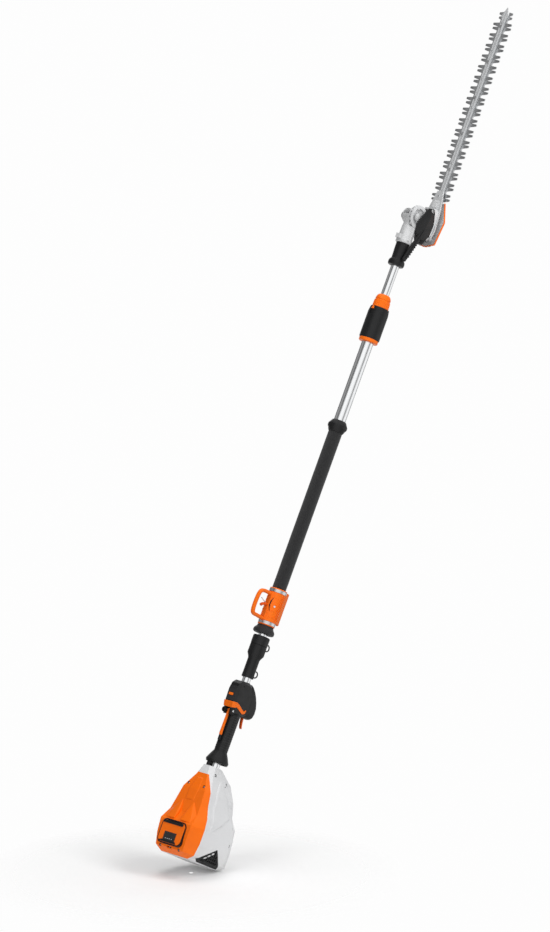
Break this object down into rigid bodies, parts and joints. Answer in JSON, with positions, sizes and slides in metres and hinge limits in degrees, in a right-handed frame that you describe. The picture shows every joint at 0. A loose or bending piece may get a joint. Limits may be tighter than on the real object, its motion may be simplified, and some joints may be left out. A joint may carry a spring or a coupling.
{
  "type": "pole hedge trimmer",
  "caption": "Telescopic cordless pole hedge trimmer with a slide-in battery, rear motor housing, control handle, twist collet and tilting double-sided blade",
  "frame": {"origin": "where the pole's axis meets the housing's flat foot", "axes": "+Z along the pole towards the blade, -Y towards the battery and lockout lever, +Y towards the trigger and the blade, X along the tilt axis"},
  "size_m": [0.16, 0.198, 2.672],
  "materials": {
    "shell_light": "fine grain",
    "orange_plastic": "satin",
    "black_plastic": "fine grain",
    "display": "gloss",
    "rubber": "matt",
    "foam": "closed-cell foam",
    "tube_aluminium": "polished",
    "cast_aluminium": "cast, blasted",
    "steel": "machined",
    "blade_steel": "ground"
  },
  "bodies": {
    "root": {"motor_shell_left": "shell_light", "motor_shell_right": "shell_light", "rear_cover": "orange_plastic", "intake_grille": "black_plastic", "housing_screws": "steel", "controller": "cast_aluminium", "battery_bay": "black_plastic", "motor_carrier": "cast_aluminium", "stator": "steel", "motor_bearings": "steel", "lower_tube": "tube_aluminium", "outer_tube": "tube_aluminium", "lower_bushes": "black_plastic", "handle_left": "black_plastic", "handle_right": "black_plastic", "handle_pins": "steel", "display_panel": "display", "trim_band": "orange_plastic", "power_switch": "black_plastic", "control_cable": "rubber", "harness_sleeves": "black_plastic", "flared_boot": "rubber", "loop_clamp_front": "orange_plastic", "loop_clamp_rear": "orange_plastic", "clamp_bands": "steel", "foam_grip": "foam", "grip_collar": "black_plastic", "collet_sleeve": "black_plastic", "collet_ring": "orange_plastic", "collet_insert": "black_plastic"},
    "battery": {"battery_case": "orange_plastic"},
    "battery_latch": {"battery_latch": "black_plastic"},
    "motor_rotor": {"rotor": "steel", "motor_shaft": "steel", "cooling_fan": "black_plastic", "lower_drive_shaft": "steel"},
    "lockout_lever": {"lockout_lever": "orange_plastic"},
    "trigger": {"trigger": "orange_plastic"},
    "mode_button": {"mode_button": "orange_plastic"},
    "loop_latch": {"loop_latch": "orange_plastic"},
    "collet_nut": {"collet_nut": "orange_plastic"},
    "inner_pole": {"inner_tube": "tube_aluminium", "upper_bushes": "black_plastic", "joint_arm": "cast_aluminium", "pivot_cap": "black_plastic", "sleeve_spring": "steel"},
    "upper_drive_shaft": {"upper_drive_shaft": "steel"},
    "crown_gear": {"crown_gear": "steel"},
    "locking_sleeve": {"locking_sleeve": "black_plastic"},
    "cutter_head": {"gear_head": "cast_aluminium", "gear_cover": "black_plastic", "adjusting_lever": "black_plastic", "guide_rail": "blade_steel", "skid_plate": "blade_steel", "guard_rim": "orange_plastic", "cutter_screws": "steel"},
    "output_gear": {"output_gear": "steel"},
    "crank_wheel": {"crank_wheel": "steel"},
    "upper_blade": {"upper_blade": "blade_steel"},
    "lower_blade": {"lower_blade": "blade_steel"}
  },
  "joints": [
    {"name": "battery_slide", "type": "slide", "parent": "root", "child": "battery", "axis": [0, -1, 0], "range_m": [0, 0.15]},
    {"name": "battery_latch_press", "type": "hinge", "parent": "battery", "child": "battery_latch", "pos_m": [0, -0.069, 0.0838], "axis": [-1, 0, 0], "range_deg": [0, 8], "stiffness_Nm_per_rad": 0.3, "springref_deg": -2.86},
    {"name": "motor_spin", "type": "hinge", "parent": "root", "child": "motor_rotor", "pos_m": [0, 0, 0.155], "axis": [0, 0, 1], "continuous": true},
    {"name": "lockout_squeeze", "type": "hinge", "parent": "root", "child": "lockout_lever", "pos_m": [0, -0.025, 0.442], "axis": [1, 0, 0], "range_deg": [0, 4], "stiffness_Nm_per_rad": 3, "springref_deg": -5.73},
    {"name": "trigger_pull", "type": "hinge", "parent": "root", "child": "trigger", "pos_m": [0, 0.031, 0.448], "axis": [-1, 0, 0], "range_deg": [0, 12], "stiffness_Nm_per_rad": 1, "springref_deg": -11.46},
    {"name": "mode_press", "type": "slide", "parent": "root", "child": "mode_button", "axis": [0, 1, 0], "range_m": [0, 0.0015], "stiffness_N_per_m": 600, "springref_m": -0.001},
    {"name": "loop_latch_turn", "type": "hinge", "parent": "root", "child": "loop_latch", "pos_m": [0, -0.0305, 0.76855], "axis": [-1, 0, 0], "range_deg": [0, 20], "stiffness_Nm_per_rad": 0.2, "springref_deg": -5.73},
    {"name": "collet_turn", "type": "hinge", "parent": "root", "child": "collet_nut", "pos_m": [0, 0, 1.7], "axis": [0, 0, 1], "range_deg": [0, 60]},
    {"name": "pole_slide", "type": "slide", "parent": "root", "child": "inner_pole", "axis": [0, 0, 1], "range_m": [0, 0.7]},
    {"name": "upper_shaft_spin", "type": "hinge", "parent": "inner_pole", "child": "upper_drive_shaft", "pos_m": [0, 0, 1.9], "axis": [0, 0, 1], "continuous": true},
    {"name": "crown_spin", "type": "hinge", "parent": "inner_pole", "child": "crown_gear", "pos_m": [0, 0, 1.974], "axis": [1, 0, 0], "continuous": true},
    {"name": "sleeve_slide", "type": "slide", "parent": "inner_pole", "child": "locking_sleeve", "axis": [0, 0, -1], "range_m": [0, 0.012], "stiffness_N_per_m": 900, "springref_m": -0.02},
    {"name": "head_tilt", "type": "hinge", "parent": "inner_pole", "child": "cutter_head", "pos_m": [0, 0, 1.974], "axis": [1, 0, 0], "range_deg": [0, 145]},
    {"name": "output_spin", "type": "hinge", "parent": "cutter_head", "child": "output_gear", "pos_m": [0, 0.04, 1.974], "axis": [0, 1, 0], "continuous": true},
    {"name": "crank_spin", "type": "hinge", "parent": "cutter_head", "child": "crank_wheel", "pos_m": [0, 0.066, 1.998], "axis": [0, 1, 0], "continuous": true},
    {"name": "upper_blade_stroke", "type": "slide", "parent": "cutter_head", "child": "upper_blade", "axis": [0, 0, 1], "range_m": [-0.0145, 0.0025]},
    {"name": "lower_blade_stroke", "type": "slide", "parent": "cutter_head", "child": "lower_blade", "axis": [0, 0, 1], "range_m": [-0.0025, 0.0145]}
  ],
  "couplings": [
    {"joint": "upper_shaft_spin", "follows": "motor_spin", "ratio": 1},
    {"joint": "crown_spin", "follows": "motor_spin", "ratio": -1},
    {"joint": "output_spin", "follows": "motor_spin", "ratio": -1},
    {"joint": "crank_spin", "follows": "motor_spin", "ratio": 0.33333},
    {"joint": "lower_blade_stroke", "follows": "upper_blade_stroke", "ratio": -1}
  ]
}
